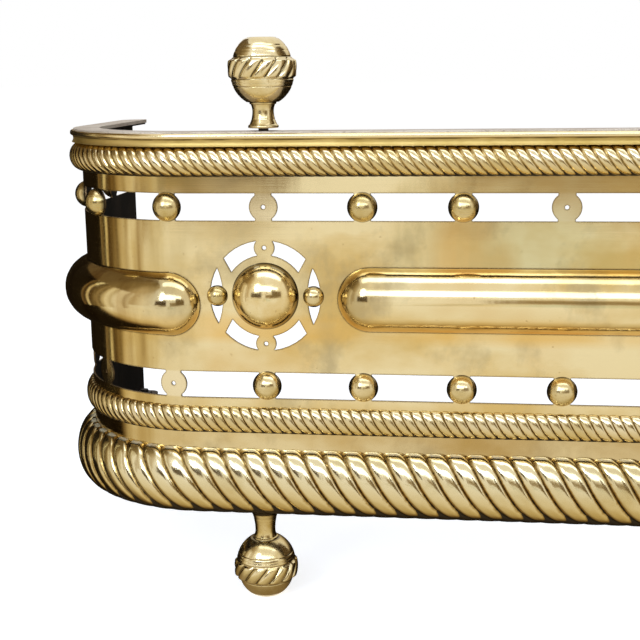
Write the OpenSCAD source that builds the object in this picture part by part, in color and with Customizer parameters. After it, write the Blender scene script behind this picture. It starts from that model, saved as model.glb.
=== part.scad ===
// Fire fender: a U-shaped hearth guard of pierced and embossed sheet brass
// between an iron top rail and an iron base bar, dressed with rope mouldings
// and standing on turned ball feet.  Millimetres, +Z up, the front faces -Y.

/* [Plan] */
// Distance between two stud centres, measured along the face
stud_pitch = 63.5; // [58:0.5:72]
// Number of stud pitches between the two roundels
front_pitches = 14; // [10:2:16]
// Distance from a roundel's centre to the start of the corner curve
corner_lead = 48.2; // [44:0.1:60]
// Radius of the corner curve at the face of the sheet
corner_r = 97; // [85:1:130]
// Depth from the front face to the ends of the returns
return_depth = 208; // [190:1:280]

/* [Heights] */
// Height of a foot, from the floor to the underside of the base moulding
foot_h = 60.4; // [52:0.2:75]
// Height of the base rope moulding
base_rope_h = 44.6; // [40:0.2:60]
// Height of the plain band above the base moulding
band_h = 11; // [6:0.5:20]
// Height of the small rope moulding above the plain band
lower_rope_h = 18; // [12:0.5:24]
// Height of the plain strip under the lower stud row
lower_strip_h = 6; // [3:0.5:15]
// Height of each openwork stud row
row_gap = 17.5; // [15:0.5:18.5]
// Height of the embossed middle panel
panel_h = 100; // [86:1:130]
// Height of the plain strip over the upper stud row
upper_strip_h = 10.5; // [6:0.5:20]
// Height of the rope moulding under the rail
upper_rope_h = 19.5; // [14:0.5:26]
// Height of the cove between that moulding and the bead
cove_h = 4.5; // [3:0.1:8]

/* [Sheet] */
// Thickness of the sheet brass
sheet_t = 1.2; // [0.8:0.1:1.6]
// Width of the flanges folded inwards at the sheet's top and bottom edges
flange_w = 12; // [11.8:0.1:12.6]
// Radius of the round lugs in the stud rows
lug_r = 9.3; // [8.6:0.1:10.5]
// Width of the neck that joins a lug to the strips
lug_neck_w = 11; // [6:0.5:14]
// Diameter of the rivet hole in a lug
lug_hole_d = 2.6; // [2.5:0.1:3.2]

/* [Bulges] */
// Half the height of the embossed bulges
bulge_half_h = 21; // [15:0.5:26]
// How far the bulges stand out from the sheet
bulge_rise = 16.5; // [10:0.5:20]
// How far the long bulge lies below the middle of the panel
bulge_drop = 0.7; // [0:0.1:4]
// How far the corner bulges lie below the middle of the panel
corner_bulge_drop = 5.2; // [0:0.1:10]
// Distance from a roundel's centre to the tip of the long front bulge
long_bulge_lead = 47.3; // [42:0.1:80]
// Distance from a roundel's centre to the tip of the corner bulge
corner_bulge_lead = 43.8; // [41:0.1:44.5]
// Distance from the tip of the corner bulge to the end of the return
return_bulge_margin = 25; // [15:1:40]

/* [Roundel] */
// Outer radius of the pierced openings
roundel_open_r = 36.2; // [34:0.1:38]
// Radius of the flat ring round the dome
roundel_ring_r = 26.9; // [25:0.1:29]
// Width of the lens-shaped side openings
lens_w = 8.4; // [6:0.1:11]
// Radius of the arc on the inner side of those openings
lens_r = 50; // [40:1:70]
// How far the roundels' centres lie above the middle of the panel
roundel_rise = 1; // [-2:0.1:3]
// Angle of an upper opening's end at the ring
spoke_in_a = 35.5; // [30:0.5:40]
// Angle of an upper opening's end at the outer edge
spoke_out_a = 42.5; // [38:0.5:48]
// Radius of the small lugs in the roundel
small_lug_r = 6.8; // [5.5:0.1:7.5]
// Width of the necks of those lugs
small_neck_w = 8; // [4:0.5:10]
// Radius of the dome
dome_r = 22; // [18:0.5:24]
// Height of the dome
dome_rise = 16; // [10:0.5:21]
// Wall of the dome
dome_wall = 1; // [0.6:0.1:2]

/* [Studs] */
// Diameter of the half-ball studs
stud_d = 19.4; // [15:0.1:21]
// How far a half-ball stud stands out from its lug
stud_rise = 8.6; // [5:0.1:9.6]
// Diameter of the half-ball studs in the roundels
small_stud_d = 13.8; // [10:0.1:15]
// How far those stand out
small_stud_rise = 6.2; // [4:0.1:6.8]
// Diameter of a stud's shank
shank_d = 2.4; // [1.8:0.1:2.4]
// Diameter of the riveted tail behind the lug
tail_d = 4.4; // [3.6:0.1:6]
// Thickness of that tail
tail_t = 0.8; // [0.5:0.1:1.2]

/* [Rope mouldings] */
// How far the base rope stands out from the sheet
base_rope_rise = 14; // [10:0.5:18]
// Wall of the hollow base rope
base_rope_wall = 1.6; // [1.2:0.1:2.4]
// Distance between two strands of the base rope
base_rope_pitch = 13.6; // [12:0.1:20]
// How far a strand of the base rope travels from top to bottom
base_rope_lay = 40; // [20:1:48]
// Depth of the grooves in the base rope
base_rope_groove = 2.2; // [1:0.1:3]
// How far the rope under the rail stands out
upper_rope_rise = 8.6; // [6:0.1:11]
// Distance between two strands of the rope under the rail
upper_rope_pitch = 6.65; // [6.2:0.05:12]
// How far a strand of the rope under the rail travels
upper_rope_lay = 19.5; // [6:0.5:24]
// Depth of the grooves in the rope under the rail
upper_rope_groove = 1.3; // [0.6:0.1:2]
// How far the small rope stands out
lower_rope_rise = 5.2; // [3.5:0.1:8]
// Distance between two strands of the small rope
lower_rope_pitch = 6.65; // [6.2:0.05:12]
// How far a strand of the small rope travels
lower_rope_lay = 15; // [6:0.5:24]
// Depth of the grooves in the small rope
lower_rope_groove = 1.1; // [0.4:0.1:1.4]

/* [Rail and base bar] */
// Width of the flat iron top rail
rail_w = 18; // [17.6:0.1:20]
// Thickness of the top rail
rail_t = 2.6; // [2.4:0.1:6]
// How far the rail reaches in front of the sheet's face
rail_lip = 5; // [4:0.1:6]
// Radius of the rail's outer corner at the ends of the returns
rail_end_r = 10; // [2:0.5:12]
// Diameter of the bead in front of the rail
bead_d = 3.7; // [3.4:0.1:6]
// Depth of the cove under the bead
cove_depth = 1.1; // [0.4:0.1:2]
// Width of the flat iron base bar
base_bar_w = 13; // [13:0.5:26]
// Thickness of the base bar
base_bar_t = 4; // [3:0.1:8]
// Height of the base bar's top face above the underside of the base moulding
base_bar_rise = 26.6; // [22:0.2:34]
// Radius of the base bar's inner corner at the ends of the returns
base_bar_end_r = 6; // [2:0.5:12]

/* [Finials and feet] */
// Diameter of the gadroon band round a finial or foot
ball_d = 44.2; // [38:0.2:48]
// Height of the gadroon band
gadroon_h = 13.4; // [10:0.1:16]
// Number of gadroons round the band
gadroons = 14; // [10:1:24]
// Slant of the gadroons from the vertical
gadroon_slant = 36; // [10:1:50]
// Depth of the grooves between them
gadroon_groove = 1.3; // [0.5:0.1:1.8]
// Height of a finial
finial_h = 56.2; // [52:0.1:62]
// Radius of the flat end of a finial or foot
ball_flat_r = 9.2; // [6:0.1:12]
// Smallest radius of the neck
neck_r = 6.8; // [5.6:0.1:7.4]
// Radius of the collar at the end of the neck
collar_r = 9.7; // [9.1:0.1:10.5]
// Height of that collar
collar_h = 2; // [1:0.1:2.4]
// Depth of the threaded bore in a finial or foot
bore_depth = 24; // [15:1:30]
// How far each front foot stands outside the finial over it
front_foot_lead = 5; // [0:0.1:8]
// Distance of a rear foot's axis from the end of the return
rear_foot_inset = 23; // [23:1:40]

/* [Fasteners] */
// Diameter of the studs that hold the finials and feet
rod_d = 6.4; // [5:0.1:6.4]
// Distance of those studs behind the sheet's face
rod_inset = 8; // [7.8:0.1:8.2]
// Gap between the rail and a finial, where its stud shows
finial_gap = 1.8; // [0.5:0.1:4]
// Width across the flats of the nuts
nut_af = 11; // [9.5:0.1:12]
// Height of the nuts
nut_h = 5; // [3:0.1:7]
// Radius of the iron spacers over the feet
spacer_r = 7.8; // [6:0.1:7.8]
// Diameter of the screws that hold the rail and the base bar
screw_d = 3; // [2:0.1:3.6]
// Diameter of their heads
screw_head_d = 5.6; // [4.6:0.1:6]
// Number of screws between the finials, in the rail and in the base bar
front_screws = 9; // [5:1:13]
// Distance from the ends of the returns to the last screw
screw_end = 50; // [44:1:60]
// Clearance round rods, shanks and screws
fit_gap = 0.1; // [0.05:0.01:0.1]
// Gap between a moulding's back and the sheet's face
seat_gap = 0.2; // [0.1:0.05:0.3]

/* [Hidden] */

$fn = 96;
small_fn = 40;
over = 1;    // how far a cutter runs past the face that it cuts

// lugs that have lost their studs, counted in pitches from the left roundel
upper_bare = [0, 3];
lower_bare = [-3, -2, -1];

// plan: distances along the face are measured from the middle of the front
roundel_x = front_pitches * stud_pitch / 2;
half_front = roundel_x + corner_lead;
arc_len = corner_r * PI / 2;
return_len = return_depth - corner_r;
half_len = half_front + arc_len + return_len;
reach = max(bulge_rise, base_rope_rise, dome_rise);
front_y = -(return_depth - reach) / 2;
back_y = front_y + return_depth;
side_pitches = floor((corner_lead + arc_len + return_len - stud_d) / stud_pitch);

// heights above the floor, from the bottom up
base_rope_z = foot_h;
band_z = base_rope_z + base_rope_h;
lower_rope_z = band_z + band_h;
lower_strip_z = lower_rope_z + lower_rope_h;
lower_row_z = lower_strip_z + lower_strip_h;
panel_z = lower_row_z + row_gap;
upper_row_z = panel_z + panel_h;
upper_strip_z = upper_row_z + row_gap;
upper_rope_z = upper_strip_z + upper_strip_h;
cove_z = upper_rope_z + upper_rope_h;
bead_z = cove_z + cove_h;
rail_z = bead_z + bead_d * 0.56;
rail_top_z = rail_z + rail_t;
finial_z = rail_top_z + finial_gap;
base_bar_top_z = base_rope_z + base_bar_rise;
base_bar_z = base_bar_top_z - base_bar_t;
roundel_z = panel_z + panel_h / 2 + roundel_rise;
bulge_z = panel_z + panel_h / 2 - bulge_drop;
corner_bulge_z = panel_z + panel_h / 2 - corner_bulge_drop;

// a bulge is part of a tube whose middle lies behind the sheet's face
bulge_r = (bulge_half_h * bulge_half_h + bulge_rise * bulge_rise) / (2 * bulge_rise);
bulge_back = bulge_r - bulge_rise;
cap_swell = 0.2;    // how much larger than its tube a corner bulge's end is
long_bulge_x = roundel_x - long_bulge_lead - bulge_half_h;
corner_cap_a = (corner_bulge_lead + bulge_half_h - corner_lead) / corner_r * 180 / PI;
return_bulge_y = back_y - return_bulge_margin - bulge_half_h;

rod_r = rod_d / 2;
rod_hole_r = rod_r + fit_gap;

// a finial or foot is two balls, one over the other, with a band round them;
// the drops are measured from its flat end
ball_r = ball_d / 2;
upper_ball_r = ball_r * 0.91;
lower_ball_r = ball_r * 0.85;
lower_ball_drop = sqrt(lower_ball_r * lower_ball_r - ball_flat_r * ball_flat_r);
upper_ball_drop = lower_ball_drop + ball_r * 0.285;
band_drop = lower_ball_drop + ball_r * 0.12;
ball_h = upper_ball_drop + upper_ball_r * 0.875;
shoulder_r = collar_r - 1;
shoulder_h = 1;      // height of the plain ring at the shoulder
collar_step = 0.6;   // how far the collar stands out from the neck
waist_drop = 5.5;    // distance of the waist from the shoulder
front_foot_x = roundel_x + front_foot_lead;
rear_foot_y = back_y - rear_foot_inset;
bead_off = rail_lip + bead_d * 0.16;

rod_end = 2;    // how far a stud stops short of the bottom of its bore
stud_top = 2;   // how far a stud passes its nut
screw_skin = 0.8;   // what a screw leaves of the bar above its tip

brass = "#C9A24B";
dark_brass = "#A98438";
iron = "#8A8075";
black = "#2B2927";

// ---------------------------------------------------------------- plan

// Position at distance p along the face and off outwards from it
function plan_point(p, off) =
    let (a = abs(p), side = p < 0 ? -1 : 1)
    a <= half_front ? [p, front_y - off]
    : a <= half_front + arc_len
        ? let (t = (a - half_front) / corner_r * 180 / PI)
          [side * (half_front + (corner_r + off) * sin(t)),
           front_y + corner_r - (corner_r + off) * cos(t)]
        : [side * (half_front + corner_r + off),
           front_y + corner_r + a - half_front - arc_len];

// Direction of the outward normal there, in degrees from +X
function plan_dir(p) =
    let (t = (abs(p) - half_front) / corner_r * 180 / PI)
    -90 + (p < 0 ? -1 : 1) * min(90, max(0, t));

// Moves its children to that place, with their +Z pointing outwards
module on_face(p, off, z) {
    q = plan_point(p, off);
    translate([q.x, q.y, z])
        rotate([0, 0, plan_dir(p)])
            rotate([0, 90, 0])
                children();
}

// Moves its children to that place, still upright, with their +X outwards
module beside_face(p, off, z) {
    q = plan_point(p, off);
    translate([q.x, q.y, z])
        rotate([0, 0, plan_dir(p)])
            children();
}

// The area inside the outline that runs off outwards from the face
module plan_area(off, tail = 0) {
    wide = half_front + corner_r + off;
    translate([-wide, front_y + corner_r])
        square([2 * wide, return_len + tail]);
    translate([-half_front, front_y - off])
        square([2 * half_front, corner_r + off + over]);
    for (side = [-1, 1])
        translate([side * half_front, front_y + corner_r])
            intersection() {
                circle(corner_r + off, $fn = 240);
                translate([-corner_r - off, -corner_r - off])
                    square([2 * (corner_r + off), corner_r + off + over]);
            }
}

// A U-shaped strip between two offsets
module plan_strip(inner, outer) {
    difference() {
        plan_area(outer);
        plan_area(inner, over);
    }
}

module wall(inner, outer, z, h) {
    translate([0, 0, z])
        linear_extrude(h)
            plan_strip(inner, outer);
}

// Sweeps a section, drawn as [outwards, up], along the whole face
module sweep_face() {
    translate([half_front, front_y, 0])
        rotate([90, 0, -90])
            linear_extrude(2 * half_front)
                children();
    for (side = [0, 1])
        mirror([side, 0, 0]) {
            translate([-half_front, front_y + corner_r, 0])
                rotate_extrude(angle = 90, start = 180, $fn = 240)
                    translate([corner_r, 0])
                        children();
            translate([-half_front - corner_r, front_y + corner_r, 0])
                rotate([90, 0, 180])
                    linear_extrude(return_len)
                        children();
        }
}

// Both sides of the fender
module both_sides() {
    children();
    mirror([1, 0, 0])
        children();
}

// ---------------------------------------------------------------- sheet

// Every stud place of a row, as a distance along the face
function stud_place(k) = (k - front_pitches / 2) * stud_pitch;
stud_range = [-side_pitches : front_pitches + side_pitches];

module lug_shape() {
    cylinder(r = lug_r, h = 12, center = true, $fn = small_fn);
    cube([row_gap + 2 * over, lug_neck_w, 12], center = true);
}

// The lugs of one stud row, cut from a strip of the sheet
module lug_row(z) {
    intersection() {
        wall(-sheet_t, 0, z, row_gap);
        for (k = stud_range)
            on_face(stud_place(k), 0, z + row_gap / 2)
                lug_shape();
    }
}

// The round end of a tube, standing on the plane x = 0
module round_end(r) {
    rotate([0, 90, 0])
        rotate_extrude()
            intersection() {
                circle(r);
                square(r);
            }
}

// Half of a tube with a round end, lying along +X from the origin
module round_end_tube(r, len) {
    rotate([0, 90, 0])
        cylinder(r = r, h = len);
    translate([len, 0, 0])
        round_end(r);
}

// The bulge round one corner, as a full tube of radius r
module corner_tube(r) {
    translate([-half_front, front_y + corner_r, corner_bulge_z]) {
        rotate_extrude(angle = 90 - corner_cap_a, start = 180)
            translate([corner_r - bulge_back, 0])
                circle(r);
        rotate([0, 0, -90 - corner_cap_a])
            translate([corner_r - bulge_back, 0, 0])
                sphere(r + cap_swell);
        translate([bulge_back - corner_r, 0, 0])
            rotate([0, 0, 90])
                round_end_tube(r, return_bulge_y - front_y - corner_r);
    }
}

// The long bulge across the front, as a full tube of radius r
module long_tube(r) {
    translate([0, front_y + bulge_back, bulge_z])
        for (turn = [0, 180])
            rotate([0, 0, turn])
                round_end_tube(r, long_bulge_x);
}

module bulge_tubes(r) {
    long_tube(r);
    both_sides()
        corner_tube(r);
}

function polar(r, a) = [r * cos(a), r * sin(a)];

// The four curved openings and the two lens openings round a dome
module roundel_openings() {
    mid_r = (roundel_open_r + roundel_ring_r) / 2;
    gap = roundel_open_r - roundel_ring_r;
    lens_x = roundel_open_r - lens_w + lens_r;
    // an opening's end runs through these points and a little past them
    ring_end = polar(roundel_ring_r, spoke_in_a);
    rim_end = polar(roundel_open_r, spoke_out_a);
    spoke_in = ring_end - 0.3 * (rim_end - ring_end);
    spoke_out = rim_end + 0.3 * (rim_end - ring_end);
    difference() {
        union() {
            for (turn = [0, 180])
                rotate(turn)
                    intersection() {
                        difference() {
                            circle(roundel_open_r);
                            circle(roundel_ring_r);
                        }
                        polygon([spoke_in, spoke_out,
                                 [spoke_out.x, 2 * roundel_open_r],
                                 [-spoke_out.x, 2 * roundel_open_r],
                                 [-spoke_out.x, spoke_out.y],
                                 [-spoke_in.x, spoke_in.y]]);
                    }
            for (turn = [0, 180])
                rotate(turn)
                    intersection() {
                        circle(roundel_open_r);
                        translate([lens_x, 0])
                            circle(lens_r);
                    }
        }
        for (turn = [0 : 90 : 270])
            rotate(turn)
                translate([mid_r, 0]) {
                    circle(small_lug_r, $fn = small_fn);
                    square([gap + 2 * over, small_neck_w], center = true);
                }
    }
}

module roundel_places() {
    for (side = [-1, 1])
        translate([side * roundel_x, front_y, roundel_z])
            children();
}

module roundel_lug_holes() {
    mid_r = (roundel_open_r + roundel_ring_r) / 2;
    roundel_places()
        for (turn = [0 : 90 : 270])
            rotate([0, turn, 0])
                translate([mid_r, 0, 0])
                    rotate([90, 0, 0])
                        cylinder(d = lug_hole_d, h = 6, center = true, $fn = small_fn);
}

module fret_sheet() {
    color(brass)
        difference() {
            union() {
                wall(-sheet_t, 0, base_bar_z - sheet_t, lower_row_z - base_bar_z + sheet_t);
                wall(-sheet_t, 0, panel_z, panel_h);
                wall(-sheet_t, 0, upper_strip_z, rail_z - upper_strip_z);
                wall(-flange_w, -sheet_t, rail_z - sheet_t, sheet_t);
                wall(-flange_w, -sheet_t, base_bar_z - sheet_t, sheet_t);
                lug_row(lower_row_z);
                lug_row(upper_row_z);
                difference() {
                    bulge_tubes(bulge_r);
                    translate([0, 0, panel_z])
                        linear_extrude(panel_h)
                            plan_area(-sheet_t, over);
                }
            }
            bulge_tubes(bulge_r - sheet_t);
            roundel_places()
                rotate([90, 0, 0])
                    linear_extrude(6, center = true)
                        roundel_openings();
            roundel_lug_holes();
            for (k = stud_range, z = [lower_row_z, upper_row_z])
                on_face(stud_place(k), 0, z + row_gap / 2)
                    cylinder(d = lug_hole_d, h = 6, center = true, $fn = small_fn);
            finial_stud_holes(rail_z - sheet_t - over, 2 * over + sheet_t);
            foot_stud_holes(base_bar_z - sheet_t - over, 2 * over + sheet_t);
            screw_holes(rail_z - sheet_t, sheet_t + over);
            screw_holes(base_bar_z - sheet_t, sheet_t + over);
        }
}

// ------------------------------------------------- rail, nosing, base bar

module finial_place(side) {
    translate([side * roundel_x, front_y + rod_inset, 0])
        children();
}

module front_foot_place(side) {
    translate([side * front_foot_x, front_y + rod_inset, 0])
        children();
}

module rear_foot_place(side) {
    translate([side * (half_front + corner_r - rod_inset), rear_foot_y, 0])
        children();
}

module finial_places() {
    for (side = [-1, 1])
        finial_place(side)
            children();
}

module foot_places() {
    for (side = [-1, 1]) {
        front_foot_place(side)
            children();
        rear_foot_place(side)
            children();
    }
}

// Screws half a step off the finials, in the corners and near the ends
module screw_places() {
    step = 2 * roundel_x / front_screws;
    for (i = [0 : front_screws - 1])
        beside_face((i + 0.5) * step - roundel_x, -rod_inset, 0)
            children();
    for (side = [-1, 1], p = [half_front + arc_len / 2, half_len - screw_end])
        beside_face(side * p, -rod_inset, 0)
            children();
}

module finial_stud_holes(z, h) {
    finial_places()
        translate([0, 0, z])
            cylinder(r = rod_hole_r, h = h, $fn = small_fn);
}

module foot_stud_holes(z, h) {
    foot_places()
        translate([0, 0, z])
            cylinder(r = rod_hole_r, h = h, $fn = small_fn);
}

// Holes for the screws, from below the face at z up to a height h over it
module screw_holes(z, h) {
    screw_places()
        translate([0, 0, z - over])
            cylinder(d = screw_d + 2 * fit_gap, h = h + over, $fn = small_fn);
}

// Rounds a square corner of radius r whose tip is at the origin
module corner_cutter(r) {
    difference() {
        translate([-r, -r])
            square(r + over);
        translate([-r, -r])
            circle(r);
    }
}

module top_rail() {
    outer_x = half_front + corner_r + rail_lip;
    color(iron)
        difference() {
            translate([0, 0, rail_z])
                linear_extrude(rail_t)
                    difference() {
                        plan_strip(rail_lip - rail_w, rail_lip);
                        for (side = [0, 1])
                            mirror([side, 0])
                                translate([outer_x, back_y])
                                    corner_cutter(rail_end_r);
                    }
            finial_stud_holes(rail_z - over, rail_t + 2 * over);
            screw_holes(rail_z, rail_t - screw_skin + fit_gap);
        }
}

// Bead in front of the rail's edge, and the cove below it
module nosing_section() {
    difference() {
        union() {
            difference() {
                translate([seat_gap, cove_z])
                    square([bead_off + bead_d / 4 - seat_gap, rail_z - cove_z]);
                translate([bead_off + bead_d / 4 + cove_h * 0.9 - cove_depth, cove_z + cove_h * 0.6])
                    circle(cove_h * 0.9);
            }
            translate([bead_off, bead_z + bead_d / 2])
                circle(d = bead_d);
        }
        translate([-over, rail_z])
            square([rail_lip + seat_gap + over, bead_d]);
    }
}

module rail_nosing() {
    color(brass)
        sweep_face()
            nosing_section();
}

module base_bar() {
    inner_x = half_front + corner_r - sheet_t - seat_gap - base_bar_w;
    color(black)
        difference() {
            translate([0, 0, base_bar_z])
                linear_extrude(base_bar_t)
                    difference() {
                        plan_strip(-sheet_t - seat_gap - base_bar_w, -sheet_t - seat_gap);
                        for (side = [0, 1])
                            mirror([side, 0])
                                translate([inner_x, back_y])
                                    mirror([1, 0])
                                        corner_cutter(base_bar_end_r);
                    }
            foot_stud_holes(base_bar_z - over, base_bar_t + 2 * over);
            screw_holes(base_bar_z, base_bar_t - screw_skin + fit_gap);
        }
}

// ---------------------------------------------------------- rope mouldings

// Share of the full twist that is left at distance p, so the ends are square
function twist_at(p, lay) = min(1, (half_len - abs(p)) / (lay * 1.2));

// One point on a rope moulding.  a is the angle round its half-round section,
// from 90 at the top to -90 at the bottom, and cut is how deep a groove lies.
function rope_point(p, a, rise, h, z, lay, cut) =
    let (s = p - lay * twist_at(p, lay) * a / 180,
         q = plan_point(s, seat_gap + (rise - seat_gap - cut) * cos(a)))
    [q.x, q.y, z + h / 2 + (h / 2 - cut / 3) * sin(a)];

// Triangles across the end of a hollow moulding, from the points of its outer
// side to those of its inner side, which run on in one ring
function ring_cap(outer_n, inner_n) = [
    for (j = [0 : outer_n - 1])
        let (ring = outer_n + inner_n + 2,
             t = ring - 1 - round((j + 0.5) * inner_n / outer_n),
             before = j > 0 ? ring - 1 - round((j - 0.5) * inner_n / outer_n) : t)
        each concat([[j, j + 1, t]], t == before ? [] : [[j, t, before]])
];

// A half-round moulding twisted like a rope.  cols gives the groove depth of
// each line along one strand, and wall is its thickness, or 0 for a solid one.
module rope(rise, h, z, pitch, lay, groove, cols, outer_n, wall, inner_n) {
    strands = round(2 * half_len / pitch);
    n = strands * len(cols);
    step = 2 * half_len / n;
    ring = wall > 0 ? outer_n + inner_n + 2 : outer_n + 1;
    points = [
        for (i = [0 : n])
            let (p = -half_len + i * step,
                 cut = groove * cols[i % len(cols)])
            each [
                for (j = [0 : outer_n])
                    rope_point(p, 90 - 180 * j / outer_n, rise, h, z, lay, cut),
                if (wall > 0)
                    for (j = [0 : inner_n])
                        rope_point(p, -90 + 180 * j / inner_n, rise - wall - groove,
                                   h - 2 * wall - groove / 2, z + wall + groove / 4, lay, 0)
            ]
    ];
    sides = [
        for (i = [0 : n - 1], j = [0 : ring - 1])
            let (a = i * ring + j, b = i * ring + (j + 1) % ring)
            each [[a, b + ring, b], [a, a + ring, b + ring]]
    ];
    near = wall > 0 ? ring_cap(outer_n, inner_n) : [[for (j = [0 : ring - 1]) j]];
    far = [for (f = near) [for (j = [len(f) - 1 : -1 : 0]) n * ring + f[j]]];
    polyhedron(points, concat(sides, near, far), convexity = 8);
}

module upper_rope() {
    color(brass)
        rope(upper_rope_rise, upper_rope_h, upper_rope_z, upper_rope_pitch,
             upper_rope_lay, upper_rope_groove, [0, 1], 5, 0, 0);
}

module lower_rope() {
    color(brass)
        rope(lower_rope_rise, lower_rope_h, lower_rope_z, lower_rope_pitch,
             lower_rope_lay, lower_rope_groove, [0, 1], 4, 0, 0);
}

module base_rope() {
    color(dark_brass)
        rope(base_rope_rise, base_rope_h, base_rope_z, base_rope_pitch,
             base_rope_lay, base_rope_groove, [0, 0, 1], 7, base_rope_wall, 2);
}

// ------------------------------------------------------------ domes, studs

function cap_radius(base_r, rise) = (base_r * base_r + rise * rise) / (2 * rise);

// Section of a spherical cap of the given base radius and rise
module cap_section(base_r, rise) {
    r = cap_radius(base_r, rise);
    intersection() {
        translate([0, rise - r])
            circle(r);
        square([base_r + over, rise + over]);
    }
}

module dome() {
    rotate([90, 0, 0])
        rotate_extrude()
            difference() {
                cap_section(dome_r, dome_rise);
                cap_section(dome_r - dome_wall, dome_rise - dome_wall);
            }
}

module dome_left() {
    color(brass)
        translate([-roundel_x, front_y, roundel_z])
            dome();
}

module dome_right() {
    color(brass)
        translate([roundel_x, front_y, roundel_z])
            dome();
}

// A half-ball with its shank through the sheet and its riveted tail
module stud(d, rise) {
    back = sheet_t + seat_gap / 4;
    rotate_extrude($fn = small_fn) {
        cap_section(d / 2, rise);
        translate([0, -back - tail_t / 2])
            square([shank_d / 2, back + tail_t]);
        translate([0, -back - tail_t])
            square([tail_d / 2, tail_t]);
    }
}

module stud_row(z, bare) {
    for (k = stud_range)
        if (len([for (b = bare) if (b == k) b]) == 0)
            on_face(stud_place(k), 0, z + row_gap / 2)
                stud(stud_d, stud_rise);
}

module upper_studs() {
    color(brass)
        stud_row(upper_row_z, upper_bare);
}

module lower_studs() {
    color(brass)
        stud_row(lower_row_z, lower_bare);
}

module roundel_studs() {
    mid_r = (roundel_open_r + roundel_ring_r) / 2;
    color(brass)
        roundel_places()
            for (side = [-1, 1])
                translate([side * mid_r, 0, 0])
                    rotate([90, 0, 0])
                        stud(small_stud_d, small_stud_rise);
}

// ---------------------------------------------------------- finials, feet

// Section of a finial or foot of height h, with the neck's end at z = 0
module turned_section(h) {
    shoulder = h - ball_h;
    waist = shoulder - waist_drop;
    difference() {
        union() {
            square([collar_r, collar_h]);
            square([collar_r - collar_step, waist]);
            translate([0, waist])
                square([shoulder_r, waist_drop + over]);
            intersection() {
                union() {
                    translate([0, h - lower_ball_drop])
                        circle(lower_ball_r);
                    translate([0, h - upper_ball_drop])
                        circle(upper_ball_r);
                    intersection() {
                        translate([0, h - band_drop])
                            circle(ball_r);
                        translate([0, h - band_drop - gadroon_h / 2])
                            square([ball_r + over, gadroon_h]);
                    }
                }
                translate([0, shoulder])
                    square([ball_r + over, ball_h]);
            }
        }
        translate([0, waist])
            neck_cutter(collar_r - collar_step - neck_r, waist - collar_h, -1);
        translate([0, waist])
            neck_cutter(shoulder_r - neck_r, waist_drop - shoulder_h, 1);
    }
}

// Cuts half a neck away, from the waist at z = 0 over a height run
module neck_cutter(depth, run, way) {
    r = (run * run + depth * depth) / (2 * depth) * 1.1;
    intersection() {
        translate([neck_r + r, 0])
            circle(r);
        translate([0, way > 0 ? 0 : -run])
            square([collar_r + over, run]);
    }
}

// A ball on a waisted neck, with its gadroon grooves and its threaded bore
module turned_ball(h, slant) {
    groove_r = 2;
    groove_len = gadroon_h * 0.8;
    difference() {
        rotate_extrude()
            turned_section(h);
        for (i = [0 : gadroons - 1])
            rotate([0, 0, 360 * (i + 0.5) / gadroons])
                translate([ball_r + groove_r - gadroon_groove, 0, h - band_drop])
                    rotate([-slant, 0, 0])
                        cylinder(r = groove_r, h = groove_len, center = true, $fn = small_fn);
        translate([0, 0, -over])
            cylinder(r = rod_hole_r, h = bore_depth + over, $fn = small_fn);
    }
}

module finial(side) {
    finial_place(side)
        translate([0, 0, finial_z])
            turned_ball(finial_h, gadroon_slant);
}

module finial_left() {
    color(brass)
        finial(-1);
}

module finial_right() {
    color(brass)
        finial(1);
}

module foot() {
    translate([0, 0, foot_h])
        rotate([180, 0, 0])
            turned_ball(foot_h, gadroon_slant);
}

module front_foot_left() {
    color(dark_brass)
        front_foot_place(-1)
            foot();
}

module front_foot_right() {
    color(dark_brass)
        front_foot_place(1)
            foot();
}

module rear_foot_left() {
    color(dark_brass)
        rear_foot_place(-1)
            foot();
}

module rear_foot_right() {
    color(dark_brass)
        rear_foot_place(1)
            foot();
}

// --------------------------------------------------------------- fasteners

module stud_bar(low, high) {
    translate([0, 0, low])
        cylinder(r = rod_r, h = high - low, $fn = small_fn);
}

// From a finial's bore down through the rail, the flange and the nut
module finial_stud() {
    stud_bar(rail_z - sheet_t - nut_h - stud_top, finial_z + bore_depth - rod_end);
}

module finial_stud_left() {
    color(black)
        finial_place(-1)
            finial_stud();
}

module finial_stud_right() {
    color(black)
        finial_place(1)
            finial_stud();
}

// From a foot's bore up through the spacer, the flange, the base bar and the nut
module foot_stud() {
    stud_bar(foot_h - bore_depth + rod_end, base_bar_top_z + nut_h + stud_top);
}

module front_foot_stud_left() {
    color(black)
        front_foot_place(-1)
            foot_stud();
}

module front_foot_stud_right() {
    color(black)
        front_foot_place(1)
            foot_stud();
}

module rear_foot_stud_left() {
    color(black)
        rear_foot_place(-1)
            foot_stud();
}

module rear_foot_stud_right() {
    color(black)
        rear_foot_place(1)
            foot_stud();
}

// A hexagon nut with flats towards +X and -X
module nut(z) {
    translate([0, 0, z])
        difference() {
            rotate([0, 0, 30])
                cylinder(d = nut_af / cos(30), h = nut_h, $fn = 6);
            translate([0, 0, -over])
                cylinder(r = rod_hole_r, h = nut_h + 2 * over, $fn = small_fn);
        }
}

module rail_nuts() {
    color(black)
        finial_places()
            nut(rail_z - sheet_t - nut_h);
}

module base_nuts() {
    color(black)
        foot_places()
            nut(base_bar_top_z);
}

module spacer() {
    h = base_bar_z - sheet_t - foot_h;
    translate([0, 0, foot_h])
        difference() {
            cylinder(r = spacer_r, h = h, $fn = small_fn);
            translate([0, 0, -over])
                cylinder(r = rod_hole_r, h = h + 2 * over, $fn = small_fn);
        }
}

module foot_spacers() {
    color(black)
        foot_places()
            spacer();
}

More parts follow.
